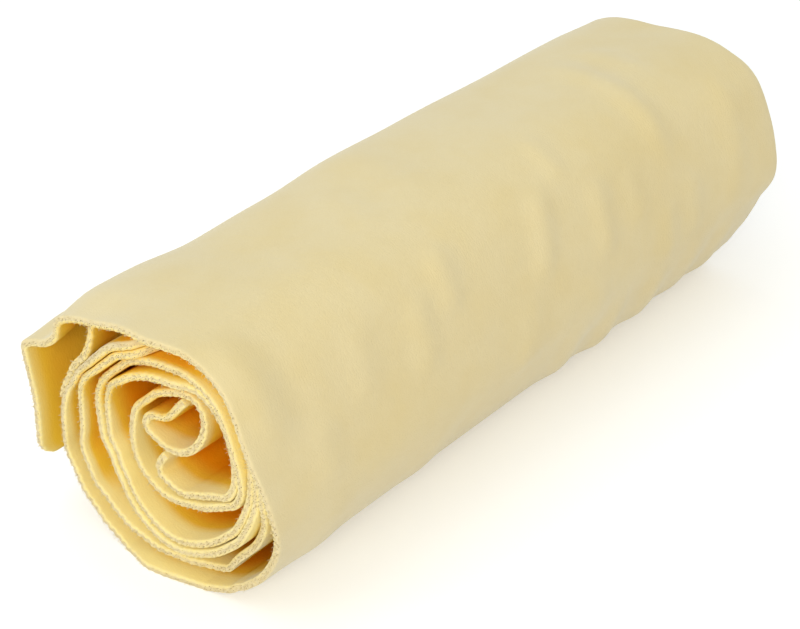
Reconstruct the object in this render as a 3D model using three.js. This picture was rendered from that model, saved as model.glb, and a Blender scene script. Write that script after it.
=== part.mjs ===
// Synthetic chamois cloth: one sheet, folded once along its length and rolled up, lying on its side.
// The roll runs along Y with its cut edges at the front (-Y) and its fold at the back. It rests on z = 0.
// Two leaves wind together about the core. Each layer is stacked on the one below it with air between them,
// so a thicker sheet gives a thicker roll. The free end lies over the top and hangs down at the left.

import * as THREE from 'three';

// Driving dimensions, in millimetres and degrees

const rollLength = 217; // from the foremost cut edge to the back of the fold
const frontReach = 109.5; // from the middle of the rest face to the foremost cut edge
const sheetThickness = 2;
const layerAir = 0.5; // least air between neighbouring layers
const seamGap = 0.3; // between two lengths of the same leaf
const foldRound = 0.7; // how far the corners of the fold are rounded
const restPress = 2.2; // how far the underside is pressed flat by the roll's weight
const coreSide = 7.5; // the core lies to the right of the middle of the rest face
const angleStep = 10; // between stations along the winding
const pathStep = 4; // between stations along the free end

// Winding angles: 0 points right, 90 up, and each turn outward adds 360

const outerStartAngle = 62;
const thirdTurnAngle = 420;
const innerStartAngle = 612; // the inner leaf ends short of the core
const secondTurnAngle = 780;
const firstTurnAngle = 1140;
const crestAngle = 1535; // where the free end leaves the roll
const innerEndAngle = 1632;

// Inside of the outer leaf where it curls up alone in the core: winding angle and radius

const coreCurl = [
  [62, 7.8], [75, 7.2], [90, 6.3], [110, 5.2], [126, 4.9], [143, 5.6], [156, 6.8], [166, 8], [175, 9.6],
  [184, 11.4], [194, 13.2], [203, 14.2], [210, 14.1], [216, 13.6], [225, 12.8], [234, 11.7], [245, 10],
  [258, 8], [270, 6.4], [288, 5], [310, 4.4], [330, 4.5], [349, 5.1], [378, 7.2], [394, 8.8],
  [413, 10.8], [430, 11.1], [450, 9.9], [468, 9.4], [486, 9.2], [503, 9.5], [516, 10.1], [526, 11],
  [535, 12.5], [544, 14.4], [554, 16.3], [563, 18], [572, 20.2], [580, 22.2], [586, 23.5], [592, 24.3],
  [600, 24.8], [612, 24.6], [618, 23.9], [628, 22.4], [640, 20.9],
];

// Inside of the inner leaf at its beginning

const innerStart = [[612, 19.6], [622, 19.6], [632, 19], [640, 18]];
const coreCloseAngle = 640; // from here on each layer lies on the one below it

// Hollows between one turn and the next: winding angle and extra air

const turnHollows = [
  [640, 9.9], [660, 9.9], [672, 10.3], [691, 12.4], [700, 12.5], [715, 11.4], [730, 9.5], [745, 7.7],
  [760, 6.3], [775, 4.9], [796, 3.7], [819, 3.4], [835, 3.6], [851, 4.4], [864, 5.4], [877, 6.7],
  [891, 7.3], [908, 6.2], [928, 5.2], [941, 1.9], [950, 1.8], [957, 3.2], [965, 5.1], [973, 6.2],
  [982, 7.5], [993, 8.1], [1006, 7.3], [1020, 5.8], [1035, 4], [1050, 1.2], [1065, 0.3], [1080, 0],
  [1200, 0.1], [1225, 0.8], [1240, 1.1], [1259, 3.4], [1275, 3.8], [1285, 5], [1296, 8], [1305, 8.5],
  [1314, 6.7], [1325, 3.8], [1334, 2.4], [1344, 1.7], [1352, 2.5], [1368, 3.9], [1376, 2], [1382, 1.2],
  [1396, 0.5], [1412, 0.1], [1450, 0], [1535, 0], [1559, 2], [1571, 4.2], [1579, 4.9], [1587, 2.5],
  [1596, 0.5], [1604, 0],
];

// Hollows between the inner and the outer leaf of the same turn

const leafHollows = [
  [640, 0.4], [672, 0.4], [683, 0.1], [775, 0], [796, 0.5], [819, 0.7], [851, 0.8], [877, 0.3],
  [908, 0.1], [950, 0.2], [973, 0.4], [1006, 0.2], [1080, 0], [1225, 0], [1259, 0.3], [1268, 2],
  [1275, 3.1], [1290, 4.5], [1305, 5.1], [1325, 5.7], [1344, 5.4], [1361, 3.5], [1371, 3.2],
  [1376, 4.5], [1382, 4.8], [1396, 3.7], [1412, 2.7], [1428, 1.8], [1444, 0.6], [1475, 0],
];

// Set-back of the cut edges from the foremost one: winding angle and distance

const edgeSetBack = [
  [60, 9], [420, 7], [780, 4.5], [1000, 3.4], [1030, 3.6], [1080, 5.5], [1140, 7], [1180, 7],
  [1205, 4.5], [1230, 2.3], [1290, 2], [1340, 3], [1375, 7], [1405, 6.5], [1435, 3], [1460, 1],
  [1490, 2], [1510, 2], [1535, 0],
];

// Outer leaf of the free end, from the crest: across and up. The dip is where the hanging tail begins.

const lapRoute = [[-16, -2], [-27, -5.2], [-32.5, -8.8], [-35, -14.5]];
const tailRoute = [
  [-38.6, -17.8], [-43.4, -20], [-46.4, -23.6], [-46.6, -31], [-46.2, -43.5], [-46.9, -61.5],
];

// A table's value at an angle, by a curve that never overshoots its points

function tableValue(table, angle) {
  const last = table.length - 1;
  if (angle <= table[0][0]) return table[0][1];
  if (angle >= table[last][0]) return table[last][1];
  const i = table.findIndex((point, k) => k < last && angle < table[k + 1][0]);
  const rise = (k) => (table[k + 1][1] - table[k][1]) / (table[k + 1][0] - table[k][0]);
  const slope = (k) => {
    if (k === 0 || k === last) return 0;
    const before = rise(k - 1);
    const after = rise(k);
    return before * after <= 0 ? 0 : (2 * before * after) / (before + after);
  };
  const width = table[i + 1][0] - table[i][0];
  const s = (angle - table[i][0]) / width;
  const ease = s * s * (3 - 2 * s);
  const bend = width * (s * (1 - s) ** 2 * slope(i) + s * s * (s - 1) * slope(i + 1));
  return table[i][1] * (1 - ease) + table[i + 1][1] * ease + bend;
}

// Radius of the inside face of each leaf at a winding angle

const layerPitch = sheetThickness + layerAir;

function innerLeafRadius(angle) {
  if (angle < coreCloseAngle) return tableValue(innerStart, angle);
  return outerLeafRadius(angle - 360) + layerPitch + tableValue(turnHollows, angle);
}

function looseOuterRadius(angle) {
  if (angle < coreCloseAngle) return tableValue(coreCurl, angle);
  return innerLeafRadius(angle) + layerPitch + tableValue(leafHollows, angle);
}

function depthBelowCore(angle) {
  return -(looseOuterRadius(angle) + sheetThickness) * Math.sin(THREE.MathUtils.degToRad(angle));
}

function lowestReach() {
  let reach = 0;
  for (let angle = firstTurnAngle; angle <= crestAngle; angle += 1) {
    reach = Math.max(reach, depthBelowCore(angle));
  }
  return reach;
}

const coreHeight = lowestReach() - restPress;

// The outermost turn is pressed flat where it would reach below the ground

function outerLeafRadius(angle) {
  const loose = looseOuterRadius(angle);
  const downward = -Math.sin(THREE.MathUtils.degToRad(angle));
  if (angle < firstTurnAngle || downward <= 0) return loose;
  return Math.min(loose, coreHeight / downward - sheetThickness);
}

function polarPoint(angle, radius) {
  const turn = THREE.MathUtils.degToRad(angle);
  return new THREE.Vector2(coreSide + radius * Math.cos(turn), coreHeight + radius * Math.sin(turn));
}

// A station is a pair of points across the sheet, inside and outside, with the set-back of its cut edge

function windingStations(radiusAt, from, to) {
  const stations = [];
  const start = from + THREE.MathUtils.radToDeg(seamGap / (radiusAt(from) + sheetThickness));
  const count = Math.ceil((to - start) / angleStep);
  for (let k = 0; k <= count; k += 1) {
    const angle = start + ((to - start) * k) / count;
    const radius = radiusAt(angle);
    stations.push({
      inside: polarPoint(angle, radius),
      outside: polarPoint(angle, radius + sheetThickness),
      setBack: tableValue(edgeSetBack, angle),
    });
  }
  return stations;
}

const crestRadius = outerLeafRadius(crestAngle);
const crest = polarPoint(crestAngle, crestRadius + sheetThickness / 2);
const routePoints = [[0, 0], ...lapRoute, ...tailRoute].map(
  ([across, up]) => new THREE.Vector3(crest.x + across, 0, crest.y + up),
);
const freeRoute = new THREE.CatmullRomCurve3(routePoints, false, 'centripetal');
const freeLength = freeRoute.getLength();
const dipShare = lapRoute.length / (routePoints.length - 1);

function lengthToDip() {
  const samples = 400;
  let run = 0;
  let before = freeRoute.getPoint(0);
  for (let k = 1; k <= samples; k += 1) {
    const next = freeRoute.getPoint((dipShare * k) / samples);
    run += next.distanceTo(before);
    before = next;
  }
  return run;
}

function routeStation(run) {
  const share = run / freeLength;
  const middle = freeRoute.getPointAt(share);
  const along = freeRoute.getTangentAt(share);
  const outward = new THREE.Vector2(along.z, -along.x).multiplyScalar(sheetThickness / 2);
  const centre = new THREE.Vector2(middle.x, middle.z);
  return {
    inside: centre.clone().sub(outward),
    outside: centre.clone().add(outward),
    setBack: tableValue(edgeSetBack, crestAngle),
  };
}

function routeStations(from, to) {
  const stations = [];
  const start = from + seamGap;
  const count = Math.ceil((to - start) / pathStep);
  for (let k = 0; k <= count; k += 1) {
    stations.push(routeStation(start + ((to - start) * k) / count));
  }
  return stations;
}

// A closed solid through a row of equal loops of points, with a flat cover at each end

function loftedSolid(loops) {
  const size = loops[0].length;
  const corners = loops.flat();
  const faces = [];
  for (let k = 0; k + 1 < loops.length; k += 1) {
    for (let m = 0; m < size; m += 1) {
      const here = k * size + m;
      const beside = k * size + ((m + 1) % size);
      faces.push(here, here + size, beside, beside, here + size, beside + size);
    }
  }
  const end = (loops.length - 1) * size;
  for (let m = 1; m + 1 < size; m += 1) {
    faces.push(0, m, m + 1);
    faces.push(end, end + m + 1, end + m);
  }
  const geometry = new THREE.BufferGeometry();
  const positions = corners.flatMap((point) => point.toArray());
  geometry.setAttribute('position', new THREE.Float32BufferAttribute(positions, 3));
  geometry.setIndex(faces);
  geometry.computeVertexNormals();
  return geometry;
}

const backOfFold = rollLength - frontReach;
const backOfLeaf = backOfFold - sheetThickness - seamGap;

function leafSolid(stations) {
  return loftedSolid(stations.map(({ inside, outside, setBack }) => {
    const front = setBack - frontReach;
    return [
      new THREE.Vector3(inside.x, front, inside.y),
      new THREE.Vector3(inside.x, backOfLeaf, inside.y),
      new THREE.Vector3(outside.x, backOfLeaf, outside.y),
      new THREE.Vector3(outside.x, front, outside.y),
    ];
  }));
}

// The fold closes the back of the roll from the inner leaf's inside face to the outer leaf's outside face

function foldSolid(innerStations, outerStations) {
  const count = Math.max(innerStations.length, outerStations.length) - 1;
  const pick = (stations, k) => stations[Math.round((k * (stations.length - 1)) / count)];
  const loops = [];
  for (let k = 0; k <= count; k += 1) {
    const inside = pick(innerStations, k).inside;
    const outside = pick(outerStations, k).outside;
    const across = outside.clone().sub(inside).setLength(foldRound);
    const nearInside = inside.clone().add(across);
    const nearOutside = outside.clone().sub(across);
    loops.push([
      new THREE.Vector3(inside.x, backOfFold - sheetThickness, inside.y),
      new THREE.Vector3(inside.x, backOfFold - foldRound, inside.y),
      new THREE.Vector3(nearInside.x, backOfFold, nearInside.y),
      new THREE.Vector3(nearOutside.x, backOfFold, nearOutside.y),
      new THREE.Vector3(outside.x, backOfFold - foldRound, outside.y),
      new THREE.Vector3(outside.x, backOfFold - sheetThickness, outside.y),
    ]);
  }
  return loftedSolid(loops);
}

// Lengths of the sheet, from the core outward

const chamoisColour = 0xe6d7ab;
const cloth = new THREE.Group();

function addPiece(name, geometry) {
  const material = new THREE.MeshStandardMaterial({ color: chamoisColour, roughness: 0.95, metalness: 0 });
  const mesh = new THREE.Mesh(geometry, material);
  mesh.name = name;
  cloth.add(mesh);
}

function addLength(place, innerStations, outerStations, foldStations) {
  addPiece(`inner_leaf_${place}`, leafSolid(innerStations));
  addPiece(`outer_leaf_${place}`, leafSolid(outerStations));
  addPiece(`fold_${place}`, foldSolid(innerStations, foldStations));
}

function addTurn(place, from, to) {
  const innerFrom = Math.max(from, innerStartAngle);
  addLength(
    place,
    windingStations(innerLeafRadius, innerFrom, to),
    windingStations(outerLeafRadius, from, to),
    windingStations(outerLeafRadius, innerFrom, to),
  );
}

const curlStations = windingStations(outerLeafRadius, outerStartAngle, thirdTurnAngle);
addPiece('outer_leaf_core_curl', leafSolid(curlStations));
addTurn('third_turn', thirdTurnAngle, secondTurnAngle);
addTurn('second_turn', secondTurnAngle, firstTurnAngle);
addTurn('first_turn', firstTurnAngle, crestAngle);

// The free end bends at the crest and at the dip

const dipRun = lengthToDip();
const dip = routeStation(dipRun);
const dipAngle = 360 * Math.floor(crestAngle / 360)
  + THREE.MathUtils.radToDeg(Math.atan2(dip.outside.y - coreHeight, dip.outside.x - coreSide));
const lapInner = windingStations(innerLeafRadius, crestAngle, dipAngle);
const tailInner = windingStations(innerLeafRadius, dipAngle, innerEndAngle);
const lapOuter = routeStations(0, dipRun);
const tailOuter = routeStations(dipRun, freeLength);
addLength('top_lap', lapInner, lapOuter, lapOuter);
addLength('tail_flap', tailInner, tailOuter, tailOuter);

// Bending lines of the free end, along Y: across and up

cloth.userData.crestLine = polarPoint(crestAngle, crestRadius + sheetThickness).toArray();
cloth.userData.dipLine = dip.outside.toArray();

export default cloth;
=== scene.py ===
import math

import bpy
import numpy as np
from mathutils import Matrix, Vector, noise


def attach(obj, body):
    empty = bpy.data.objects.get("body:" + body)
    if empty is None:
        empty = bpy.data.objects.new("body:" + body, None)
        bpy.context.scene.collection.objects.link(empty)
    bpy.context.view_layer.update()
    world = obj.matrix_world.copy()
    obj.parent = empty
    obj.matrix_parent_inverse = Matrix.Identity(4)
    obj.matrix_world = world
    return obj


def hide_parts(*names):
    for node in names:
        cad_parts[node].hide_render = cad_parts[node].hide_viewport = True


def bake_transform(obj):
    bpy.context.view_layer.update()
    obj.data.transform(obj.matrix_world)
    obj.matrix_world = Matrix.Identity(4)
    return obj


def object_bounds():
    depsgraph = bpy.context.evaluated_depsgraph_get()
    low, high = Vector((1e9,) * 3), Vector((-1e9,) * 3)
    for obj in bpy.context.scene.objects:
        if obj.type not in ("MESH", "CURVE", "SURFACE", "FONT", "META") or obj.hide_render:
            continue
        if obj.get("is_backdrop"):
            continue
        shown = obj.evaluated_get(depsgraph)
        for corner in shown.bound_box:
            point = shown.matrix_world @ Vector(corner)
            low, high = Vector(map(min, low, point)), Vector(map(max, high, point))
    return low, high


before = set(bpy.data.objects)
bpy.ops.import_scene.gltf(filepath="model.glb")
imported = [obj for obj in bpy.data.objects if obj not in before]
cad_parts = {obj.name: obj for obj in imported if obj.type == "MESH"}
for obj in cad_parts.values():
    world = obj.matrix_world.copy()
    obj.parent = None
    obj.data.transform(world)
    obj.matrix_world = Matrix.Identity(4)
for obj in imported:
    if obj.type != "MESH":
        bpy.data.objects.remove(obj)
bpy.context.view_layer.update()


# The winding
# The cloth is one sheet of felted synthetic chamois, folded once along its length and rolled up. Its two
# leaves wind together about a core, each layer stacked on the one below, and the weight presses the underside
# flat. Lengths are in millimetres up to the meshes. Angles are in degrees from the right over the top, and
# each turn outward adds 360.

sheet_thickness = 2.0
layer_air = 0.5
layer_pitch = sheet_thickness + layer_air
half = sheet_thickness / 2
nap = 0.14
core_side = 7.5
rest_press = 2.2
inner_start_angle = 612
outer_turn_angle = 1140
crest_angle = 1535
inner_end_angle = 1632
core_close_angle = 640
# Each table pairs an angle of the winding with a radius or with the air under a layer there.
core_curl = [
    (258, 8), (270, 6.4), (288, 5), (310, 4.4), (330, 4.5), (349, 5.1), (378, 7.2), (394, 8.8),
    (413, 10.8), (430, 11.1), (450, 9.9), (468, 9.4), (486, 9.2), (503, 9.5), (516, 10.1), (526, 11),
    (535, 12.5), (544, 14.4), (554, 16.3), (563, 18), (572, 20.2), (580, 22.2), (586, 23.5),
    (592, 24.3), (600, 24.8), (612, 24.6), (618, 23.9), (628, 22.4), (640, 20.9),
]
inner_start = [
    (612, 19.6), (622, 19.6), (632, 19), (640, 18),
]
turn_hollows = [
    (640, 9.9), (660, 9.9), (672, 10.3), (691, 12.4), (700, 12.5), (715, 11.4), (730, 9.5), (745, 7.7),
    (760, 6.3), (775, 4.9), (796, 3.7), (819, 3.4), (835, 3.6), (851, 4.2), (864, 4.6), (877, 5.6),
    (891, 6.6), (908, 6.2), (928, 5.2), (941, 1.9), (950, 1.8), (957, 3.2), (965, 5.1), (973, 6.2),
    (982, 7.5), (993, 8.1), (1006, 7.3), (1020, 5.8), (1035, 4), (1050, 1.2), (1065, 0.3), (1080, 0),
    (1200, 0.1), (1225, 0.2), (1240, 0.4), (1259, 2.6), (1275, 3.8), (1285, 5), (1296, 8), (1305, 8.5),
    (1314, 6.7), (1325, 3.8), (1334, 2.4), (1344, 1.7), (1352, 2.5), (1368, 3.9), (1376, 2),
    (1382, 1.2), (1396, 0.5), (1412, 0.1), (1450, 0), (1535, 0), (1559, 2), (1571, 4.2), (1579, 4.9),
    (1587, 2.5), (1596, 0.5), (1604, 0),
]
leaf_hollows = [
    (640, 0.4), (672, 0.4), (683, 0.1), (775, 0), (796, 0.5), (819, 0.7), (851, 0.8), (877, 0.3),
    (908, 0.1), (950, 0.2), (973, 0.4), (1006, 0.2), (1080, 0), (1225, 0), (1259, 0.3), (1268, 2),
    (1275, 3.1), (1290, 4.5), (1305, 5.1), (1325, 5.7), (1344, 5.4), (1361, 3.5), (1371, 3.2),
    (1376, 4.5), (1382, 4.8), (1396, 3.7), (1412, 2.7), (1428, 1.8), (1444, 0.6), (1475, 0),
]


def table_value(table, place):
    """Reads a table of places and values along a curve that never overshoots its points."""
    places, values = np.array(table, float).T
    rise = np.diff(values) / np.diff(places)
    slope = np.zeros_like(values)
    climbing = rise[:-1] * rise[1:] > 0
    both = np.where(climbing, rise[:-1] + rise[1:], 1)
    slope[1:-1] = np.where(climbing, 2 * rise[:-1] * rise[1:] / both, 0)
    place = np.clip(place, places[0], places[-1])
    k = np.clip(np.searchsorted(places, place, side="right") - 1, 0, len(places) - 2)
    width = places[k + 1] - places[k]
    s = (place - places[k]) / width
    ease = s * s * (3 - 2 * s)
    bend = width * (s * (1 - s) ** 2 * slope[k] + s * s * (s - 1) * slope[k + 1])
    return values[k] * (1 - ease) + values[k + 1] * ease + bend


def inner_leaf_radius(angle):
    """Radius of the inside face of the inner leaf."""
    radius = table_value(inner_start, angle)
    wound = angle >= core_close_angle
    if wound.any():
        below = outer_leaf_radius(angle[wound] - 360)
        radius[wound] = below + layer_pitch + table_value(turn_hollows, angle[wound])
    return radius


def loose_outer_radius(angle):
    """Radius of the inside face of the outer leaf, alone in the core, before the weight presses it."""
    radius = table_value(core_curl, angle)
    wound = angle >= core_close_angle
    if wound.any():
        below = inner_leaf_radius(angle[wound])
        radius[wound] = below + layer_pitch + table_value(leaf_hollows, angle[wound])
    return radius


def outer_leaf_radius(angle):
    """Radius of the inside face of the outer leaf, pressed flat on the ground under the outermost turn."""
    loose = loose_outer_radius(angle)
    downward = -np.sin(np.radians(angle))
    pressed = (angle >= outer_turn_angle) & (downward > 0)
    if not pressed.any():
        return loose
    ground = core_height / np.where(pressed, downward, 1) - sheet_thickness
    return np.where(pressed, np.minimum(loose, ground), loose)


underside = np.arange(outer_turn_angle, crest_angle + 1.0)
underside_reach = -(loose_outer_radius(underside) + sheet_thickness) * np.sin(np.radians(underside))
core_height = underside_reach.max() - rest_press


def polar_point(angle, radius):
    """Points at an angle and a radius about the core, as side and height."""
    turn = np.radians(angle)
    return np.stack([core_side + radius * np.cos(turn), core_height + radius * np.sin(turn)], -1)


def path_length(points):
    """Length walked up to each point."""
    steps = np.linalg.norm(np.diff(points, axis=0), axis=-1)
    return np.concatenate([[0], np.cumsum(steps)])


def smooth_step(low, high, value):
    """Rises smoothly from 0 to 1 between two values."""
    s = np.clip((value - low) / (high - low), 0, 1)
    return s * s * (3 - 2 * s)


# The free end
# Past the crest the outer leaf leaves the roll, lies over its top, dips at the upper left and hangs down as a
# tail. The inner leaf goes on round the roll below it. Towards the fold at the back the two come together.

lap_route = [(-16, -2), (-27, -5.2), (-32.5, -8.8), (-35, -14.5)]
tail_route = [(-38.6, -17.8), (-43.4, -20), (-46.4, -23.6), (-46.6, -31), (-46.2, -43.5), (-46.9, -61.5)]
crest_radius = outer_leaf_radius(np.array([crest_angle]))[0] + half
crest_point = polar_point(crest_angle, crest_radius)
route_points = crest_point + np.array([(0, 0), *lap_route, *tail_route], float)


def route_curve(points, samples):
    """A centripetal curve through the points, as a dense line, with the length walked at each point."""
    ends = np.concatenate([[2 * points[0] - points[1]], points, [2 * points[-1] - points[-2]]])
    knots = np.sqrt(np.linalg.norm(np.diff(ends, axis=0), axis=1))
    s = np.linspace(0, 1, samples, endpoint=False)[:, None]
    line = []
    for k in range(len(points) - 1):
        a, b, c, d = ends[k:k + 4]
        before, here, after = knots[k:k + 3]
        leave = here * ((b - a) / before - (c - a) / (before + here) + (c - b) / here)
        reach = here * ((c - b) / here - (d - b) / (here + after) + (d - c) / after)
        square = 3 * (c - b) - 2 * leave - reach
        cube = 2 * (b - c) + leave + reach
        line.append(b + s * leave + s ** 2 * square + s ** 3 * cube)
    line = np.concatenate([*line, points[-1:]])
    walked = path_length(line)
    return line, walked


route_samples = 200
route_line, route_walk = route_curve(route_points, route_samples)
free_length = route_walk[-1]
dip_run = route_walk[len(lap_route) * route_samples]
dip_point = route_line[len(lap_route) * route_samples]
dip_direction = math.degrees(math.atan2(dip_point[1] - core_height, dip_point[0] - core_side))
dip_angle = 360 * math.floor(crest_angle / 360) + dip_direction


# Columns along the cloth
# A column is a cut across the folded sheet: it runs along the outer leaf from its cut edge at the front to
# the fold, and back along the inner leaf. Columns are close together, so that the nubs of the cut edges are
# real shapes.

wound_spacing = 0.85
outer_spacing = 0.74
fine_steps = 6000
end_rounding = [0.0, 0.15, 0.45, 1.0]
end_thickness = [0.74, 0.9, 0.98, 1.0]


def even_angles(start, end, spacing):
    fine = np.linspace(start, end, fine_steps)
    walked = path_length(polar_point(fine, outer_leaf_radius(fine) + half))
    count = math.ceil(walked[-1] / spacing)
    return np.interp(np.linspace(0, walked[-1], count + 1), walked, fine)


wound_angles = even_angles(inner_start_angle, outer_turn_angle, wound_spacing)
outer_angles = even_angles(outer_turn_angle, crest_angle, outer_spacing)
winding = np.concatenate([wound_angles, outer_angles[1:]])
free_runs = np.linspace(0, free_length - end_rounding[-1], math.ceil(free_length / outer_spacing))[1:]
free_runs = np.concatenate([free_runs, free_length - np.array(end_rounding[2::-1])])
columns = len(winding) + len(free_runs)
crest_column = len(winding) - 1
outer_turn_column = len(wound_angles) - 1

outer_line = np.concatenate([
    polar_point(winding, outer_leaf_radius(winding) + half),
    np.stack([np.interp(free_runs, route_walk, route_line[:, axis]) for axis in (0, 1)], -1),
])
lap_share = np.clip(free_runs / dip_run, 0, 1)
tail_share = np.clip((free_runs - dip_run) / (free_length - dip_run), 0, 1)
free_angles = crest_angle + (dip_angle - crest_angle) * lap_share + (inner_end_angle - dip_angle) * tail_share
inner_angles = np.concatenate([winding, free_angles])
inner_line = polar_point(inner_angles, inner_leaf_radius(inner_angles) + half)

ease_reach = 14.0
ease_pull = 0.25
ease_rounds = 160
walk = path_length(outer_line)
near_crest = np.exp(-((walk - walk[crest_column]) / ease_reach) ** 2)[1:-1, None]
for _ in range(ease_rounds):
    bend = outer_line[:-2] + outer_line[2:] - 2 * outer_line[1:-1]
    outer_line[1:-1] += ease_pull * near_crest * bend
walk = path_length(outer_line)
run = walk - walk[crest_column]


def line_normal(line):
    """Normals of a line across the roll, away from the core."""
    along = np.gradient(line, axis=0)
    along /= np.linalg.norm(along, axis=1, keepdims=True)
    return np.stack([along[:, 1], -along[:, 0]], -1)


outer_normal = line_normal(outer_line)
inner_normal = line_normal(inner_line)
gathered_line = outer_line - outer_normal * layer_pitch
least_thickness = 0.55


def radial_thinning(line, normal):
    """Thins the sheet where the winding climbs steeply, so that stacked layers keep their air."""
    outward = line - np.array([core_side, core_height])
    outward /= np.linalg.norm(outward, axis=1, keepdims=True)
    return np.clip((outward * normal).sum(1), least_thickness, 1)


on_roll = np.arange(columns) <= crest_column
outer_thickness = np.where(on_roll, radial_thinning(outer_line, outer_normal), 1)
inner_thickness = radial_thinning(inner_line, inner_normal)
end_taper = np.interp(walk[-1] - walk, end_rounding, end_thickness)


# Cut edges at the front
# The sheet is plainly cut, without a hem. The edges of the turns stand back from the outermost one towards
# the core. They wave a little, and wear has worked them into nubs a few millimetres apart.

front_reach = 109.5
fold_bend_y = 105.25
edge_set_back = [
    (60, 7), (540, 6.2), (780, 4.5), (1000, 3.4), (1030, 3.6), (1080, 5.5), (1110, 9), (1140, 13),
    (1176, 13), (1186, 7), (1193, 2.4), (1200, 1.6), (1236, 1.6), (1260, 2), (1322, 2), (1330, 1.4),
    (1336, 0.8), (1342, 1.8), (1348, 3.3), (1354, 4.7), (1361, 6), (1375, 7), (1405, 6.5), (1435, 3),
    (1460, 1), (1490, 2), (1510, 2), (1535, 0),
]
inner_set_back = [
    (780, 0), (800, -2.2), (865, -2.2), (900, 0), (1322, 0), (1336, 2), (1345, 1), (1356, 0), (1425, 0),
    (1470, 5), (1530, 8), (1548, 7), (1560, 3), (1575, 2.5),
]
outer_trim = 0.5
inner_trim = 1.1
edge_waves = [(0.45, 9.1, 1.0), (0.3, 4.7, 2.1)]
outer_wave_share = 0.7
outer_wave_phase, inner_wave_phase = 0.4, 2.2
nub_pitch = 2.4
nub_depth = 0.46
nub_reach = 0.9
outer_nub_phase, inner_nub_phase = 0.3, 1.7
pitch_drift = 0.8
drift_pace = 7.3
wear_pace = 13.0
least_wear = 0.45


def edge_wave(length, phase):
    """Slow waves of a cut edge. Each has a height, a length per radian and a share of the phase."""
    return sum(height * np.sin(length / pace + turn * phase) for height, pace, turn in edge_waves)


def edge_nubs(length, phase):
    """Nubs of an uneven pitch, worn unevenly deep."""
    worn = 0.5 + 0.5 * np.sin(length / wear_pace + phase)
    drift = pitch_drift * np.sin(length / drift_pace)
    nub = 0.5 - 0.5 * np.cos(2 * math.pi * length / nub_pitch + drift)
    return nub_depth * (least_wear + (1 - least_wear) * worn) * nub


set_back = table_value(edge_set_back, np.minimum(inner_angles, crest_angle)) - front_reach
inner_walk = path_length(inner_line)
outer_front = set_back + outer_trim + outer_wave_share * edge_wave(walk, outer_wave_phase)
inner_front = set_back + inner_trim + edge_wave(inner_walk, inner_wave_phase)
inner_front += table_value(inner_set_back, inner_angles)
corner_radius = 6.0
corner_share = 0.85
past_corner = np.clip(run - (run[-1] - corner_radius), 0, corner_radius)
corner_back = corner_radius - np.sqrt(corner_radius ** 2 - past_corner ** 2)
outer_front += corner_share * corner_back

row_near_edge = [0, 0.15, 0.45, 1, 1.8, 2.8, 4, 5.5, 7.5, 10, 13, 16.5]
row_near_fold = [6, 3.2, 1.4, 0]
whole_row = front_reach + fold_bend_y
outer_row_gap = 2.4
inner_row_gap = 15.0


def row_shares(gap):
    """Places of the rows from the cut edge, 0, to the fold, 1."""
    first, last = row_near_edge[-1], whole_row - row_near_fold[0]
    middle = np.linspace(first, last, math.ceil((last - first) / gap) + 1)[1:-1]
    return np.concatenate([row_near_edge, middle, whole_row - np.array(row_near_fold)]) / whole_row


outer_rows = row_shares(outer_row_gap)
inner_rows = row_shares(inner_row_gap)[::-1]
fold_steps = 9
fold_turns = np.linspace(0, math.pi, fold_steps + 1)[1:-1]
fold_first = len(outer_rows)
inner_first = fold_first + len(fold_turns)
rows = inner_first + len(inner_rows)
is_outer = np.arange(rows) < fold_first
is_inner = np.arange(rows) >= inner_first


# The middle surface of the folded sheet
# Soft folds run round the outside, the ends of the roll are a little slack, and the free end droops at the
# front. They come from handling the limp cloth and are no part of its make.

gather_from, gather_to = -40.0, 92.0
far_from_edge = 200.0
middle = np.zeros((columns, rows, 3))
edge_distance = np.full((columns, rows), far_from_edge)
for first, share, front, line, back_line in (
    (0, outer_rows, outer_front, outer_line, outer_line),
    (inner_first, inner_rows, inner_front, inner_line, gathered_line),
):
    y = front[:, None] + share[None, :] * (fold_bend_y - front[:, None])
    place = slice(first, first + len(share))
    middle[:, place, 1] = y
    edge_distance[:, place] = y - front[:, None]
    gather = smooth_step(gather_from, gather_to, y)[..., None]
    middle[:, place, 0::2] = line[:, None, :] * (1 - gather) + back_line[:, None, :] * gather
fold_middle = (outer_line + gathered_line) / 2
fold_radius = (outer_line - gathered_line) / 2
for k, turn in enumerate(fold_turns):
    middle[:, fold_first + k, 0::2] = fold_middle + fold_radius * math.cos(turn)
    middle[:, fold_first + k, 1] = fold_bend_y + layer_pitch / 2 * math.sin(turn)

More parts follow.
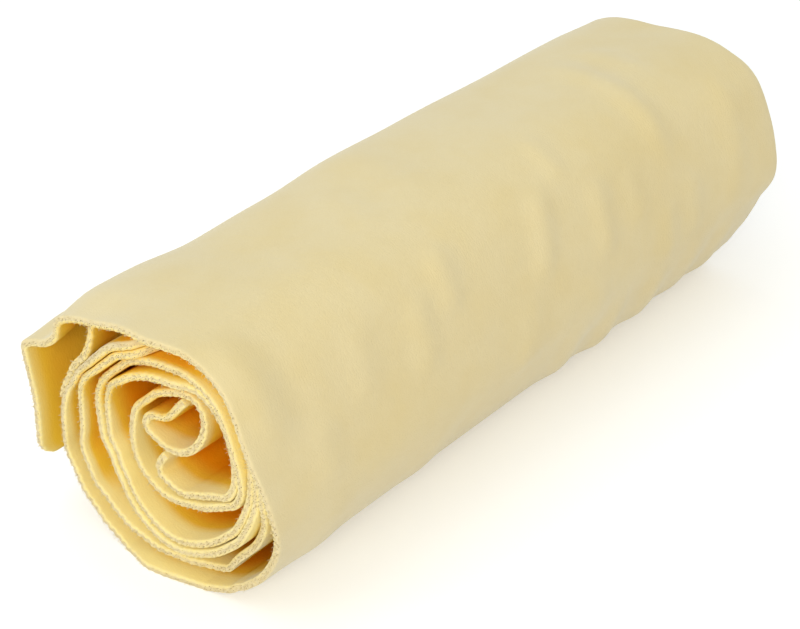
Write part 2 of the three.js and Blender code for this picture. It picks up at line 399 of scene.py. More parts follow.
# Place along the roll, lean per degree, arc from and to, height and half width of each soft fold.
ripples = [
    (60, 0.03, 20, 130, 1.6, 4.0), (19, 0.05, 46, 80, 0.96, 3.0), (26, 0.1, 0, 46, 1.44, 3.6),
    (41, 0.05, 5, 40, 0.8, 3.5), (3, 0.22, 8, 56, 1.76, 4.0), (-34, 0.1, 20, 58, 1.44, 3.8),
    (-47, 0.1, 2, 45, 1.28, 4.0), (-68, 0.1, 8, 48, 0.96, 4.5), (-86, 0.0, -15, 20, 0.96, 4.5),
    (-99.5, 0.0, 10, 78, 1.9, 6.0), (-90, 0.0, 12, 58, -0.7, 4.5), (-16, 0.1, 78, 150, 0.8, 7.0),
    (-37, 0.1, 72, 125, 0.8, 6.0), (88, 0.1, -20, 60, 0.96, 4.5), (75, 0.0, 72, 125, 0.8, 4.0),
    (66, 0.0, -16, 20, 0.8, 3.5), (53, 0.0, -22, 14, 0.8, 3.5), (-10, 0.1, -30, 15, 0.8, 5.0),
    (20, -0.1, -35, 5, 0.64, 5.0), (13, 0.0, -75, -15, 1.2, 4.5), (31.5, 0.0, -75, -15, 1.5, 4.5),
    (51, 0.0, -75, -15, 1.2, 4.5), (70, 0.0, -75, -15, 1.1, 5.0), (86, 0.0, -75, -15, 1.3, 5.0),
    (-45, 0.0, -75, -15, 0.8, 7.0), (-84, 0.0, -75, -15, 0.8, 7.0), (12, -0.2, 170, 235, 1.12, 6.0),
    (-55, 0.2, 165, 240, 1.12, 7.0), (62, 0.1, 160, 230, 0.96, 6.0),
]
lap_height = [
    (-110, -0.2), (-85, -0.4), (-65, -1.6), (-40, -1.2), (-15, 0.2), (15, 0), (40, -0.5), (62, -0.5),
    (85, -0.9), (108, -2),
]
lap_arc = (60, 235)
# Height, stretch along the roll and arc of the slack or drawn-in parts at the back.
slack_ends = [(2.8, 66, 104, -26, 62), (-1.4, 95, 107, -75, -8), (-1.5, 72, 104, 48, 135)]
lift_off_right, lift_off_left = (-62, -48), (228, 242)
soft_pace = np.array([0.045, 0.03, 0.045])
soft_height = 0.7
roll_radius = 39.0
most_outside = 1.15
window_margin = 0.3


def roll_direction(points):
    """Direction of points seen from the core, from -90 to 270 degrees."""
    direction = np.degrees(np.arctan2(points[..., 2] - core_height, points[..., 0] - core_side))
    return (direction + 90) % 360 - 90


def arc_window(direction, low, high):
    """1 between two directions, with soft ends."""
    margin = window_margin * (high - low)
    return smooth_step(low, low + margin, direction) * (1 - smooth_step(high - margin, high, direction))


outward = middle[..., 0::2] - np.array([core_side, core_height])
reach = np.linalg.norm(outward, axis=-1)
outward /= np.maximum(reach, 1e-6)[..., None]
outside_share = np.clip(reach / roll_radius, 0, most_outside) ** 2
direction = roll_direction(middle)
along = middle[..., 1]
swell = np.zeros((columns, rows))
for y_place, lean, low, high, height, width in ripples:
    line_y = y_place + lean * (direction - (low + high) / 2)
    swell += height * np.exp(-((along - line_y) / width) ** 2) * arc_window(direction, low, high)
swell += table_value(lap_height, along) * arc_window(direction, *lap_arc)
for height, start, end, low, high in slack_ends:
    swell += height * smooth_step(start, end, along) * arc_window(direction, low, high)
off_ground = smooth_step(*lift_off_right, direction) * (1 - smooth_step(*lift_off_left, direction))
soft = [noise.noise(Vector(place)) for place in (middle * soft_pace).reshape(-1, 3)]
swell += soft_height * np.array(soft).reshape(columns, rows)
middle[..., 0::2] += outward * (swell * outside_share * off_ground)[..., None]

droop_depth = 2.4
droop_reach = 13.0
droop_start, droop_end = (4, 20), (8, 20)
drooping = smooth_step(*droop_start, run) * (1 - smooth_step(*droop_end, run - dip_run))
droop = droop_depth * drooping[:, None] * (1 - smooth_step(0, droop_reach, along + front_reach))
middle[:, :fold_first, 2] -= droop[:, :fold_first]

nub_fade = np.exp(-edge_distance / nub_reach)
for share, length, phase in ((is_outer, walk, outer_nub_phase), (is_inner, inner_walk, inner_nub_phase)):
    middle[:, share, 1] += nub_fade[:, share] * edge_nubs(length, phase)[:, None]


# Faces of the cloth
# The sheet gets its thickness on both sides of the middle surface, with softly rounded cut edges. On the
# inner leaf the outside face looks to the core, because the sheet is folded over.

along_column = np.gradient(middle, axis=0)
along_row = np.gradient(middle, axis=1)
normal = np.cross(along_row, along_column)
normal /= np.maximum(np.linalg.norm(normal, axis=-1, keepdims=True), 1e-9)
thickness = np.where(is_outer[None, :], outer_thickness[:, None], inner_thickness[:, None])
thickness = thickness * end_taper[:, None] * np.interp(edge_distance, end_rounding, end_thickness)
outside = middle + normal * ((half + nap) * thickness)[..., None]
inside = middle - normal * ((half + nap) * thickness)[..., None]
for face in (outside, inside):
    face[..., 2] = np.maximum(face[..., 2], 0)
across = np.concatenate(
    [np.zeros((columns, 1)), np.cumsum(np.linalg.norm(np.diff(middle, axis=1), axis=-1), axis=1)], axis=1,
)
cut_push = 0.1
outer_cut = middle[:, 0] - np.array([0, cut_push, 0])
inner_cut = middle[:, -1] - np.array([0, cut_push, 0])


# Depth inside the roll, for the painted glow and shade
# Behind the cut edges the faces inside the roll are painted golden and deep orange, a painted glow and shade
# that stands for light coming through the cloth and bouncing in the hollows. How deep each place lies is kept
# on the mesh for the finish. What shows on the outside has no depth, and what shows when the free end is
# lifted loses it a little behind the edge.

# Settings of the painted glow and shade: its least value inside, where it starts behind the cut edge by
# direction round the roll, and how far it reaches.
hollow_base = 0.12
hollow_start = [
    (-90, 4), (-45, 2), (0, 0.6), (60, 0), (140, -2.5), (175, -2.5), (192, -0.5), (215, 2), (235, 3.4),
    (270, 4),
]
gold_reach = 4.5
amber_start, amber_reach = 2.5, 11.0
back_margin, back_reach = 2.0, 12.0
cover_ease = 10.0


def painted_light_depth(from_edge, direction):
    """How deep the painted glow and shade lie at a place inside the roll. They start further in at the lower
    left, where more light gets in, than under the top.
    """
    start = table_value(hollow_start, direction)
    painted_gold_glow = smooth_step(start, start + gold_reach, from_edge)
    painted_amber_shade = smooth_step(start + amber_start, start + amber_reach, from_edge)
    return 0.5 * painted_gold_glow + 0.5 * painted_amber_shade


def painted_light_value(depth):
    """The painted glow and shade value kept on the mesh, which starts a little above 0 for anything inside.
    """
    return hollow_base + (1 - hollow_base) * depth


def wound_arc(low, high):
    """1 on the roll's columns between two angles of the winding, with soft ends."""
    return (arc_window(inner_angles, low, high) * on_roll)[:, None]


depth_inside = painted_light_depth(edge_distance, direction)
tail_near, tail_near_reach = 0.2, (0, 1.5)
tail_deep, tail_deep_reach = 0.32, (1, 7)
tail_blend = (-10, 8)
tail_depth = tail_near * smooth_step(*tail_near_reach, edge_distance)
tail_depth += tail_deep * smooth_step(*tail_deep_reach, edge_distance)
on_tail = smooth_step(*tail_blend, run - dip_run)[:, None]
depth_inside = depth_inside * (1 - on_tail) + tail_depth * on_tail
back_distance = fold_bend_y + back_margin - middle[..., 1]
back_fade = smooth_step(0, back_reach, back_distance)
covered = 1 - smooth_step(outer_turn_angle - cover_ease, outer_turn_angle + cover_ease, inner_angles)
covered = np.where(on_roll, covered, 0)[:, None]

# The faces under the top and under the lap's edge get a painted glow from close behind their cut edge, as do
# those in the gap at the left. The painted colour is weaker in the pinched cavity at the lower right, where
# light gets in.
top_glow, top_arc, top_reach = 0.75, (50, 150), (0.2, 1.6)
under_lap_arc, under_lap_fade = (1140, 1222), (5, 18)
left_glow, left_arc, left_reach = 0.7, (1205, 1325), (0.4, 3.4)
pinch_share, pinch_arc = 0.55, (1362, 1415)
near_edge = top_glow * smooth_step(*top_reach, edge_distance)
under_top = near_edge * arc_window(direction, *top_arc) * on_roll[:, None]
under_lap = near_edge * wound_arc(*under_lap_arc) * (1 - smooth_step(*under_lap_fade, edge_distance))
left_gap = left_glow * smooth_step(*left_reach, edge_distance) * wound_arc(*left_arc) * back_fade
painted_light_outside = np.maximum(painted_light_value(depth_inside), under_top)
painted_light_outside *= np.where(is_outer, covered, 1) * back_fade
painted_light_outside = np.maximum(painted_light_outside, np.where(is_outer, under_lap, np.where(is_inner, left_gap, 0)))
painted_light_inside = painted_light_value(depth_inside) * back_fade * (1 - pinch_share * wound_arc(*pinch_arc))

# The painted glow and shade fade on the free end's faces that show when it is lifted.
outer_lifted_fade, inner_lifted_fade = (14, 32), (5, 18)
lifted_inner = smooth_step(*inner_lifted_fade, edge_distance)
lifted_outer = smooth_step(*outer_lifted_fade, edge_distance)
shown_lifted = np.where(on_roll[:, None], 0, np.where(is_inner, lifted_inner, lifted_outer))
painted_light_outside *= 1 - shown_lifted
painted_light_inside *= 1 - shown_lifted
rim_reach = 0.7
rim = np.exp(-np.minimum(edge_distance, (walk[-1] - walk)[:, None]) / rim_reach)


# Meshes of the cloth
# The folded sheet is cut into closed pieces between two columns. Pieces meet on the same points with the same
# shading normals, so that the cloth looks whole.

fine_front, fine_back, coarse_step = 20.0, 8.0, 3
every_row = np.arange(rows)
near_ends = (edge_distance.min(0) < fine_front) | (back_distance.min(0) < fine_back)
coarse_rows = every_row[near_ends | (every_row % coarse_step == 0)]
rim_tilt = [66.0, 33.0, 10.0, 0.0]
mm = 0.001


def strip(p, q, r, s):
    """Quads from four arrays of corners."""
    return np.stack([p, q, r, s], -1).reshape(-1, 4)


def seam_normal(straight, from_edge):
    """Shading normals on a seam between two pieces, turned forward over the rounded cut edge."""
    tilt = np.radians(np.interp(from_edge, end_rounding, rim_tilt))[:, None]
    return straight * np.cos(tilt) + np.array([0, -1, 0]) * np.sin(tilt)


def cloth_mesh(first, last, kept):
    """A closed mesh of the columns from first to last with the kept rows."""
    span = slice(first, last + 1)
    count, size = last + 1 - first, len(kept)
    layers = [outside[span][:, kept], inside[span][:, kept]]
    points = np.concatenate([layer.reshape(-1, 3) for layer in layers] + [outer_cut[span], inner_cut[span]])
    place = np.arange(count * size).reshape(count, size)
    a, b = place, place + count * size
    outer_rim = 2 * count * size + np.arange(count)
    inner_rim = outer_rim + count

    quads = [
        strip(a[:-1, :-1], a[:-1, 1:], a[1:, 1:], a[1:, :-1]),
        strip(b[:-1, :-1], b[1:, :-1], b[1:, 1:], b[:-1, 1:]),
        strip(a[:-1, 0], a[1:, 0], outer_rim[1:], outer_rim[:-1]),
        strip(outer_rim[:-1], outer_rim[1:], b[1:, 0], b[:-1, 0]),
        strip(a[:-1, -1], inner_rim[:-1], inner_rim[1:], a[1:, -1]),
        strip(inner_rim[:-1], b[:-1, -1], b[1:, -1], inner_rim[1:]),
        strip(a[-1, :-1], a[-1, 1:], b[-1, 1:], b[-1, :-1]),
        strip(a[0, :-1], b[0, :-1], b[0, 1:], a[0, 1:]),
    ]
    triangles = [
        (a[-1, 0], b[-1, 0], outer_rim[-1]), (a[-1, -1], inner_rim[-1], b[-1, -1]),
        (a[0, 0], outer_rim[0], b[0, 0]), (a[0, -1], b[0, -1], inner_rim[0]),
    ]
    # The painted glow and shade inside the roll and the share of rim fuzz, kept as point attributes.
    outside_painted_light, inside_painted_light = painted_light_outside[span][:, kept], painted_light_inside[span][:, kept]
    rims = rim[span][:, kept]
    values = {
        "painted_light": [outside_painted_light, inside_painted_light, np.zeros(count), np.zeros(count)],
        "rim": [rims, rims, np.ones(count), np.ones(count)],
    }
    flat_u = np.repeat(walk[span, None], size, 1)
    flat_v = across[span][:, kept]
    flat = [flat_u, flat_u, walk[span], walk[span]], [flat_v, flat_v, across[span, 0], across[span, -1]]
    facing = np.zeros_like(points)
    for column in (0, count - 1):
        straight, from_edge = normal[first + column, kept], edge_distance[first + column, kept]
        if first + column < columns - 1:
            facing[a[column]] = seam_normal(straight, from_edge)
            facing[b[column]] = seam_normal(-straight, from_edge)
            facing[[outer_rim[column], inner_rim[column]]] = (0, -1, 0)
        if first + column == 0:
            fold_end = ~(is_outer | is_inner)[kept]
            facing[np.concatenate([a[column, fold_end], b[column, fold_end]])] = 0
    return points, np.concatenate(quads), triangles, values, flat, facing


def cloth_object(name, points, quads, triangles, values, flat, facing):
    """Makes the mesh in metres, with its flat layout, its attributes and even shading over the seams."""
    mesh = bpy.data.meshes.new(name)
    faces = quads.tolist() + [tuple(int(v) for v in t) for t in triangles]
    mesh.from_pydata((points * mm).tolist(), [], faces)
    mesh.shade_smooth()
    for key, parts in values.items():
        data = np.concatenate([np.ravel(part) for part in parts]).astype(np.float32)
        mesh.attributes.new(key, "FLOAT", "POINT").data.foreach_set("value", data)
    corner = np.zeros(len(mesh.loops), int)
    mesh.loops.foreach_get("vertex_index", corner)
    layout = np.stack([np.concatenate([np.ravel(part) for part in parts]) for parts in flat], -1) * mm
    mesh.uv_layers.new(name="flat_sheet").data.foreach_set("uv", layout[corner].astype(np.float32).ravel())
    if np.abs(facing).any():
        mesh.normals_split_custom_set_from_vertices(facing.tolist())
    piece = bpy.data.objects.new(name, mesh)
    bpy.context.scene.collection.objects.link(piece)
    return piece


# Finish of the chamois
# Matte felted fibre, pale straw yellow outside with a soft nap, and paler fuzz where the sheet was cut.
# Inside the roll the faces are painted in deeper golden colours, a painted glow and shade that stands for
# light bouncing in the hollows. The nap's sheen is left out inside the roll, where it would wash out this
# painted colour.


class Shade:
    """A socket in a node tree. Operators on it add Math nodes."""

    def __init__(self, tree, socket):
        self.tree = tree
        self.socket = socket

    def node(self, kind, inputs=(), out=0, **settings):
        """Adds a node: its settings first, then the values or links of its sockets."""
        made = self.tree.nodes.new(kind)
        for key, value in settings.items():
            setattr(made, key, value)
        for key, value in dict(inputs).items():
            if isinstance(value, Shade):
                self.tree.links.new(value.socket, made.inputs[key])
            else:
                made.inputs[key].default_value = value
        return Shade(self.tree, made.outputs[out] if made.outputs else None)

    def math(self, operation, *values):
        return self.node("ShaderNodeMath", dict(enumerate(values)), operation=operation)

    def __add__(self, other):
        return self.math("ADD", self, other)

    __radd__ = __add__

    def __mul__(self, other):
        return self.math("MULTIPLY", self, other)

    __rmul__ = __mul__

    def band(self, low, high):
        """Rises smoothly from 0 to 1 between two values."""
        sockets = {"Value": self, "From Min": low, "From Max": high}
        return self.node("ShaderNodeMapRange", sockets, interpolation_type="SMOOTHSTEP")

    def mix(self, colour_a, colour_b):
        """Mixes two colours by this value."""
        return self.node("ShaderNodeMix", {0: self, 6: colour_a, 7: colour_b}, out=2, data_type="RGBA")


def chamois_finish():
    finish = bpy.data.materials.new("chamois")
    finish.use_nodes = True
    tree = finish.node_tree
    tree.nodes.clear()
    start = Shade(tree, None)
    place = start.node("ShaderNodeTexCoord", out="Object")
    flat = start.node("ShaderNodeUVMap", uv_map="flat_sheet")
    # The painted glow and shade, and the share of cut-edge fuzz, kept on the mesh.
    painted_light = start.node("ShaderNodeAttribute", out="Fac", attribute_name="painted_light")
    rim_share = start.node("ShaderNodeAttribute", out="Fac", attribute_name="rim")

    def speckle(vector, scale, detail=2.0, roughness=0.5, distortion=0.0):
        sockets = {
            "Vector": vector, "Scale": scale, "Detail": detail, "Roughness": roughness,
            "Distortion": distortion,
        }
        return start.node("ShaderNodeTexNoise", sockets, out="Fac")

    def fibre_layer(turn, long_scale, cross_scale):
        lay = start.node(
            "ShaderNodeMapping",
            {"Vector": flat, "Rotation": (0, 0, turn), "Scale": (long_scale, cross_scale, 1)},
        )
        return speckle(lay, 1.0, detail=3.0, roughness=0.55, distortion=0.4)

    cloud = speckle(place, 24.0, detail=3.0)
    mottle = speckle(place, 95.0, detail=4.0, roughness=0.6)
    grain = speckle(place, 2600.0, detail=2.0)
    fibres = fibre_layer(0.5, 500.0, 2100.0) * 0.5 + fibre_layer(-0.75, 450.0, 1900.0) * 0.5
    pucker = speckle(place, 260.0, detail=2.0)

    straw = (0.775, 0.650, 0.368, 1)
    straw_warm = (0.755, 0.610, 0.300, 1)
    # Painted glow and shade inside the roll: pale yellow just behind the cut edges, golden and deep orange
    # further in.
    painted_lemon_glow = (0.970, 0.820, 0.340, 1)
    painted_gold_glow = (0.940, 0.610, 0.055, 1)
    painted_amber_shade = (0.940, 0.380, 0.006, 1)
    fuzz = (0.790, 0.670, 0.395, 1)
    blotch = cloud.band(0.35, 0.7) * 0.6 + mottle.band(0.3, 0.75) * 0.4
    outside_colour = blotch.mix(straw, straw_warm)
    nap_shade = fibres.band(0.3, 0.7) * 0.22
    napped = nap_shade.mix(outside_colour, straw_warm)
    # The painted glow and shade go over the cloth's own colour by the value kept on the mesh.
    with_painted_lemon = painted_light.band(0.0, 0.12).mix(napped, painted_lemon_glow)
    with_painted_gold = painted_light.band(0.08, 0.5).mix(with_painted_lemon, painted_gold_glow)
    with_painted_amber = painted_light.band(0.45, 1.0).mix(with_painted_gold, painted_amber_shade)
    fuzz_share = rim_share * grain.band(0.3, 0.75) * 0.8
    colour = fuzz_share.mix(with_painted_amber, fuzz)

    height = fibres * 0.55 + grain * 0.35 + pucker * 0.6
    bump = start.node("ShaderNodeBump", {"Strength": 0.4, "Distance": 0.0005, "Height": height})
    rough = 0.86 + fibres * 0.1
    napped_side = start.node("ShaderNodeBsdfPrincipled", {
        "Base Color": colour, "Roughness": rough, "Normal": bump, "Specular IOR Level": 0.25,
        "Sheen Weight": 0.45, "Sheen Roughness": 0.5, "Sheen Tint": (0.96, 0.98, 1.0, 1),
    }, out="BSDF")
    # Where the painted glow and shade lie, this copy without sheen or specular is mixed in.
    painted_light_side = start.node("ShaderNodeBsdfPrincipled", {
        "Base Color": colour, "Roughness": rough, "Normal": bump, "Specular IOR Level": 0.0,
    }, out="BSDF")
    shader = start.node("ShaderNodeMixShader", {0: painted_light.band(0.0, 0.2), 1: napped_side, 2: painted_light_side})
    start.node("ShaderNodeOutputMaterial", {"Surface": shader})
    return finish


chamois = chamois_finish()


# Wound turns
# The third and the second turn, both leaves and the fold that joins them, held by the turn outside. Only
# their cut edges and their folds at the back show. The whole cloth is 660 by 430 mm when it is laid flat, and
# each piece is a length of it, given in metres.

wound_turns = cloth_object("wound_turns", *cloth_mesh(0, outer_turn_column, coarse_rows))
wound_turns.data.materials.append(chamois)
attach(wound_turns, "roll")
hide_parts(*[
    f"{leaf}_{place}"
    for place in ("third_turn", "second_turn") for leaf in ("inner_leaf", "outer_leaf", "fold")
])


# Core
# The outer leaf goes on alone and curls up into a tube. The inner leaf ends short of it: its end stands up
# against the tube from below. Nothing holds them but the turns outside.

core_spacing = 0.7
core_samples = 60
join_reach = 7.0
lone_edges = []


def lone_leaf(name, path, front, phase, rows_joined, side):
    """A single leaf along a path across the roll, with cut edges at the front and at its start. Its end joins
    the rows of the first column of the wound turns, whose outside lies on the given side."""
    places, line = path
    count, size = len(line), len(rows_joined)
    joined = middle[0, rows_joined]
    share = (joined[:, 1] - joined[0, 1]) / (joined[-1, 1] - joined[0, 1])
    leaf = np.zeros((count, size, 3))
    leaf[..., 1] = front[:, None] + share[None, :] * (joined[-1, 1] - front[:, None])
    leaf[..., 0::2] = line[:, None, :]
    from_edge = leaf[..., 1] - front[:, None]
    leaf[..., 1] += np.exp(-from_edge / nub_reach) * edge_nubs(places, phase)[:, None]
    leaf += smooth_step(-join_reach, 0, places)[:, None, None] * (joined - leaf[-1])
    leaf_normal = np.cross(np.gradient(leaf, axis=1), np.gradient(leaf, axis=0))
    leaf_normal /= np.maximum(np.linalg.norm(leaf_normal, axis=-1, keepdims=True), 1e-9)
    leaf_normal[-1] = side * normal[0, rows_joined]
    start_taper = np.interp(places - places[0], end_rounding, end_thickness)
    thin = np.interp(places, (-join_reach, 0), (1, thickness[0, rows_joined[size // 2]]))
    depth = (half + nap) * (start_taper * thin)[:, None] * np.interp(from_edge, end_rounding, end_thickness)
    faces = [leaf + leaf_normal * depth[..., None], leaf - leaf_normal * depth[..., None]]
    a = np.arange(count * size).reshape(count, size)
    b = a + count * size
    cut = 2 * count * size + np.arange(count)
    points = np.concatenate([face.reshape(-1, 3) for face in faces] + [leaf[:, 0] - (0, cut_push, 0)])
    quads = np.concatenate([
        strip(a[:-1, :-1], a[:-1, 1:], a[1:, 1:], a[1:, :-1]),
        strip(b[:-1, :-1], b[1:, :-1], b[1:, 1:], b[:-1, 1:]),
        strip(a[:-1, 0], a[1:, 0], cut[1:], cut[:-1]),
        strip(cut[:-1], cut[1:], b[1:, 0], b[:-1, 0]),
        strip(a[:-1, -1], b[:-1, -1], b[1:, -1], a[1:, -1]),
        strip(a[0, :-1], b[0, :-1], b[0, 1:], a[0, 1:]),
        strip(a[-1, :-1], a[-1, 1:], b[-1, 1:], b[-1, :-1]),
    ])
    triangles = [(a[0, 0], cut[0], b[0, 0]), (a[-1, 0], b[-1, 0], cut[-1])]
    # Painted glow and shade inside the roll, as on the other pieces.
    deep = painted_light_value(painted_light_depth(from_edge, roll_direction(leaf)))
    deep *= smooth_step(0, back_reach, joined[-1, 1] - leaf[..., 1])
    rims = np.exp(-np.minimum(from_edge, (places - places[0])[:, None]) / rim_reach)
    values = {"painted_light": [deep, deep, np.zeros(count)], "rim": [rims, rims, np.ones(count)]}
    flat_u = np.repeat(places[:, None], size, 1)
    flat = [flat_u, flat_u, places], [leaf[..., 1], leaf[..., 1], front]
    facing = np.zeros_like(points)
    facing[a[-1]] = seam_normal(leaf_normal[-1], from_edge[-1])
    facing[b[-1]] = seam_normal(-leaf_normal[-1], from_edge[-1])
    facing[cut[-1]] = (0, -1, 0)
    lone_edges.append((leaf[:, 0] - (0, cut_push, 0), leaf_normal[:, 0]))
    piece = cloth_object(name, points, quads, triangles, values, flat, facing)
    piece.data.materials.append(chamois)
    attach(piece, "roll")
    return piece


def even_places(points):
    """Walks along a curve through the points at an even spacing, with close steps at its rounded start.
    Places count up to 0 at its end."""
    line, walked = route_curve(points, core_samples)
    places = np.linspace(end_rounding[-1], walked[-1], math.ceil(walked[-1] / core_spacing))
    places = np.concatenate([end_rounding[:-1], places])
    return places - walked[-1], np.stack([np.interp(places, walked, line[:, axis]) for axis in (0, 1)], -1)


core_middle = np.array([core_side, core_height])
curl_start = [
    (2.4, 9.3), (0.8, 7.5), (-0.7, 5.6), (-2.2, 3.6), (-3.6, 1.9), (-5.4, 0.6), (-7.2, -0.2),
    (-8.9, -0.7), (-10.3, -1.3), (-11.6, -2.2), (-12.6, -3.6), (-13.1, -5.3), (-12.5, -6.6),
    (-11.2, -7.4), (-9.6, -7.9), (-7.4, -8.6), (-5.7, -8.9), (-3.8, -8.7), (0, -7.4), (3.8, -4.5),
    (6.8, -0.4), (8.4, 3.1), (9, 6.8), (8.1, 10.1), (5.6, 11.9), (2.2, 11.7), (-2.6, 9.8),
]
curl_join_angle, curl_join_step = 500.0, 8.0
curl_angles = np.arange(curl_join_angle, inner_start_angle + 1, curl_join_step)
curl_rest = polar_point(curl_angles, outer_leaf_radius(curl_angles) + half)
curl = even_places(np.concatenate([core_middle + np.array(curl_start), curl_rest]))
curl_share, curl_set_back = (0, 0.3, 1), (0, 0.6, 0.9)
curl_front = outer_front[0] + np.interp(curl[0] / curl[0][0], curl_share, curl_set_back)
core_leaf = lone_leaf("core_leaf", curl, curl_front, outer_nub_phase, every_row[is_outer], 1)
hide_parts("outer_leaf_core_curl")

stem_route = core_middle + np.array([
    (-6.2, -11.4), (-7.3, -13), (-8.3, -14.6), (-8.9, -16.1), (-9.05, -17.4), (-8.6, -18.6), (-7.7, -19.3),
    inner_line[0] - core_middle,
])
stem = even_places(stem_route)
stem_front = np.full(len(stem[0]), inner_front[0])
stem_leaf = lone_leaf("stem_leaf", stem, stem_front, inner_nub_phase, every_row[is_inner][::-1], -1)


# Outer turn
# The outermost turn, both leaves and the fold, from under the roll up its right side and over the top to
# shortly before the crest. It lies loose on the turns below, and the free end goes on from it.

lap_root = 11.0
lap_column = int(np.searchsorted(run, -lap_root))
outer_turn = cloth_object("outer_turn", *cloth_mesh(outer_turn_column, lap_column, every_row))
outer_turn.data.materials.append(chamois)
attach(outer_turn, "roll")
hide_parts("inner_leaf_first_turn", "outer_leaf_first_turn", "fold_first_turn")


# Top lap
# The part of the free end that lies over the top, the same two leaves and fold.

tail_root = 7.0
tail_column = int(np.searchsorted(run, dip_run - tail_root))
top_lap = cloth_object("top_lap", *cloth_mesh(lap_column, tail_column, every_row))
top_lap.data.materials.append(chamois)
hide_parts("inner_leaf_top_lap", "outer_leaf_top_lap", "fold_top_lap")
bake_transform(top_lap)


# Tail flap
# The last part of the free end, cut straight. It dips, makes a short shelf and hangs down at the left, clear
# of the roll.

tail_flap = cloth_object("tail_flap", *cloth_mesh(tail_column, columns - 1, every_row))
tail_flap.data.materials.append(chamois)
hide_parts("inner_leaf_tail_flap", "outer_leaf_tail_flap", "fold_tail_flap")
hinge = Vector((dip_point[0] * mm, 0, dip_point[1] * mm))
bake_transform(tail_flap)


# Edge tufts
# Loose fibres that stand out of the felt where the sheet was cut. Each is a thin cone, and they go with the
# piece whose edge they stand on.

tuft_gap = 0.2
tuft_jitter = 0.4
tuft_spread = 0.72
tuft_sink = 0.2
tuft_lift = 0.95
tuft_length = 0.9
tuft_width = 0.08
tuft_tip = 0.4
tuft_lean = math.radians(45)
tuft_least, tuft_most = 0.5, 1.3
tuft_seed = 5
tuft_chance = np.random.default_rng(11)


def tuft_points(edges):
    """Places on the cut edges, a little inside the felt. An edge has its points and its leaf's normals."""
    places = []
    for points, normals in edges:
        walked = path_length(points)
        at = np.arange(0.5 * tuft_gap, walked[-1], tuft_gap)
        at = at + tuft_chance.uniform(-tuft_jitter, tuft_jitter, len(at)) * tuft_gap
        aside = tuft_chance.uniform(-tuft_spread, tuft_spread, len(at)) * half
        base = np.stack([np.interp(at, walked, points[:, axis]) for axis in range(3)], -1)
        lean = np.stack([np.interp(at, walked, normals[:, axis]) for axis in range(3)], -1)
        places.append(base + lean * aside[:, None] + np.array([0, tuft_sink, 0]))
    places = np.concatenate(places)
    places[:, 2] = np.maximum(places[:, 2], tuft_lift)
    return places


def tuft_tree():
    """Stands a small cone of fibres on every point, leaning and sized by chance."""
    tree = bpy.data.node_groups.new("edge_tufts", "GeometryNodeTree")
    sockets = [
        ("Geometry", "NodeSocketGeometry"), ("Tuft length", "NodeSocketFloat"),
        ("Tuft width", "NodeSocketFloat"), ("Seed", "NodeSocketInt"), ("Finish", "NodeSocketMaterial"),
    ]
    made = {name: tree.interface.new_socket(name, in_out="INPUT", socket_type=kind) for name, kind in sockets}
    tree.interface.new_socket("Geometry", in_out="OUTPUT", socket_type="NodeSocketGeometry")
    start = Shade(tree, None)
    entry = tree.nodes.new("NodeGroupInput")
    given = {name: Shade(tree, entry.outputs[name]) for name, _ in sockets}
    cone = start.node("GeometryNodeMeshCone", {
        "Vertices": 3, "Radius Top": given["Tuft width"] * tuft_tip, "Radius Bottom": given["Tuft width"],
        "Depth": given["Tuft length"],
    })
    turn = start.node("FunctionNodeRandomValue", {
        0: (math.pi / 2 - tuft_lean, 0, -tuft_lean), 1: (math.pi / 2 + tuft_lean, 2 * math.pi, tuft_lean),
        "Seed": given["Seed"],
    }, data_type="FLOAT_VECTOR")
    size = start.node("FunctionNodeRandomValue", {
        2: tuft_least, 3: tuft_most, "Seed": given["Seed"],
    }, out=1, data_type="FLOAT")
    tufts = start.node("GeometryNodeInstanceOnPoints", {
        "Points": given["Geometry"], "Instance": cone, "Rotation": turn, "Scale": size,
    })
    solid = start.node("GeometryNodeRealizeInstances", {"Geometry": tufts})
    soft = start.node("GeometryNodeSetShadeSmooth", {"Geometry": solid})
    marked = start.node("GeometryNodeStoreNamedAttribute", {
        "Geometry": soft, "Name": "rim", "Value": 1.0,
    }, data_type="FLOAT", domain="POINT")
    finished = start.node("GeometryNodeSetMaterial", {"Geometry": marked, "Material": given["Finish"]})
    start.node("NodeGroupOutput", {"Geometry": finished})
    return tree, made


edge_tree, tuft_inputs = tuft_tree()


def grow_tufts(name, edges):
    """Grows the tufts on points along the edges and keeps them as a plain mesh."""
    mesh = bpy.data.meshes.new(name)
    mesh.from_pydata((tuft_points(edges) * mm).tolist(), [], [])
    holder = bpy.data.objects.new(f"{name}_points", mesh)
    bpy.context.scene.collection.objects.link(holder)
    modifier = holder.modifiers.new("tufts", "NODES")
    modifier.node_group = edge_tree
    chosen = {
        "Tuft length": tuft_length * mm, "Tuft width": tuft_width * mm, "Seed": tuft_seed, "Finish": chamois,
    }
    for key, value in chosen.items():
        modifier[tuft_inputs[key].identifier] = value
    holder.update_tag()
    graph = bpy.context.evaluated_depsgraph_get()
    grown = bpy.data.meshes.new_from_object(holder.evaluated_get(graph))
    grown.name = name
    bpy.data.objects.remove(holder)
    piece = bpy.data.objects.new(name, grown)
    bpy.context.scene.collection.objects.link(piece)
    return piece


def edges_between(first, last):
    """The cut edges of both leaves from one column to another."""
    span = slice(first, last + 1)
    return [(outer_cut[span], normal[span, 0]), (inner_cut[span], normal[span, -1])]


roll_tufts = grow_tufts("roll_tufts", edges_between(0, lap_column) + lone_edges)
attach(roll_tufts, "roll")
lap_tufts = grow_tufts("lap_tufts", edges_between(lap_column, tail_column))
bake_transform(lap_tufts)
tail_tufts = grow_tufts("tail_tufts", edges_between(tail_column, columns - 1))
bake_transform(tail_tufts)


# Floor, light and camera
# A pale seamless floor of matte paper that carries the shadow, soft light from above and from the camera's
# side, and the photo's viewing angle.

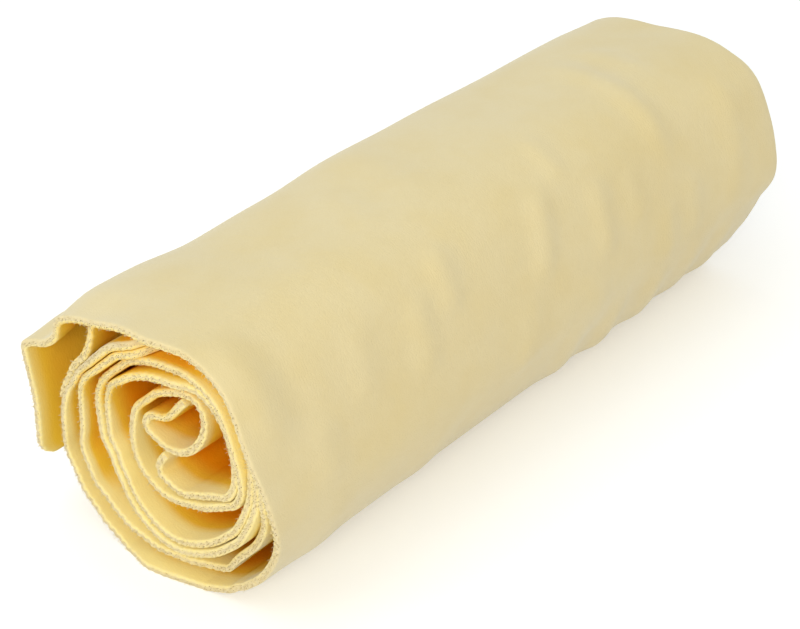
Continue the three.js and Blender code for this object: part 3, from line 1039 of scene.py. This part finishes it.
floor_size = 6.0
floor_corners = [(x * floor_size, y * floor_size, 0) for x, y in ((-1, -1), (1, -1), (1, 1), (-1, 1))]
floor_mesh = bpy.data.meshes.new("floor")
floor_mesh.from_pydata(floor_corners, [], [(0, 1, 2, 3)])
floor = bpy.data.objects.new("floor", floor_mesh)
bpy.context.scene.collection.objects.link(floor)
floor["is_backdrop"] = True
floor_finish = bpy.data.materials.new("floor_paper")
floor_finish.use_nodes = True
floor_tree = floor_finish.node_tree
floor_tree.nodes.clear()
paper = Shade(floor_tree, None)
seen = paper.node("ShaderNodeLightPath", out="Is Camera Ray")
matte = paper.node("ShaderNodeBsdfDiffuse", {"Color": (0.86, 0.86, 0.85, 1)})
glow = paper.node("ShaderNodeEmission", {"Color": (1, 1, 0.99, 1), "Strength": 0.3})
dark = paper.node("ShaderNodeEmission", {"Strength": 0.0})
lift = paper.node("ShaderNodeMixShader", {0: seen, 1: dark, 2: glow})
paper_surface = paper.node("ShaderNodeAddShader", {0: matte, 1: lift})
paper.node("ShaderNodeOutputMaterial", {"Surface": paper_surface})
floor_mesh.materials.append(floor_finish)

world = bpy.data.worlds.new("studio")
world.use_nodes = True
world_tree = world.node_tree
world_tree.nodes.clear()
sky = Shade(world_tree, None)
sky_seen = sky.node("ShaderNodeLightPath", out="Is Camera Ray")
upward = sky.node("ShaderNodeSeparateXYZ", {0: sky.node("ShaderNodeTexCoord", out="Generated")}, out="Z")
sky_colour = upward.band(0.0, 0.8).mix((1.0, 0.96, 0.86, 1), (0.93, 0.97, 1.0, 1))
ambient = sky.node("ShaderNodeBackground", {"Color": sky_colour, "Strength": 0.64})
white = sky.node("ShaderNodeBackground", {"Color": (1, 1, 1, 1), "Strength": 1.0})
sky_mix = sky.node("ShaderNodeMixShader", {0: sky_seen, 1: ambient, 2: white})
sky.node("ShaderNodeOutputWorld", {"Surface": sky_mix})
bpy.context.scene.world = world


def soft_box(name, location, target, size, power, colour):
    """A round soft box that faces a target."""
    lamp = bpy.data.lights.new(name, "AREA")
    lamp.shape = "DISK"
    lamp.size = size
    lamp.energy = power
    lamp.color = colour
    box = bpy.data.objects.new(name, lamp)
    box.location = location
    box.rotation_mode = "QUATERNION"
    box.rotation_quaternion = (Vector(target) - Vector(location)).to_track_quat("-Z", "Y")
    bpy.context.scene.collection.objects.link(box)


soft_box("overhead", (-0.3, -0.3, 1.3), (0, 0, 0.04), 1.2, 3.9, (0.85, 0.94, 1.0))
soft_box("camera_side", (0.72, -0.9, 0.8), (0, 0, 0.04), 0.5, 5.2, (1.0, 0.95, 0.84))
soft_box("front", (0.3, -1.35, 0.62), (0, -0.05, 0.04), 0.4, 2.6, (1.0, 0.96, 0.88))
soft_box("front_left", (-0.5, -1.05, 0.75), (0, -0.1, 0.04), 0.5, 1.1, (1.0, 0.98, 0.94))

camera_data = bpy.data.cameras.new("camera")
camera_data.lens = 81.45
camera_data.sensor_width = 36
camera = bpy.data.objects.new("camera", camera_data)
camera.location = (0.2731, -0.3206, 0.3196)
camera.rotation_mode = "QUATERNION"
camera.rotation_quaternion = Vector((-0.5447, 0.6116, -0.5739)).to_track_quat("-Z", "Y")
bpy.context.scene.collection.objects.link(camera)
bpy.context.scene.camera = camera
bpy.context.scene.view_settings.view_transform = "Standard"

low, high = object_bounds()
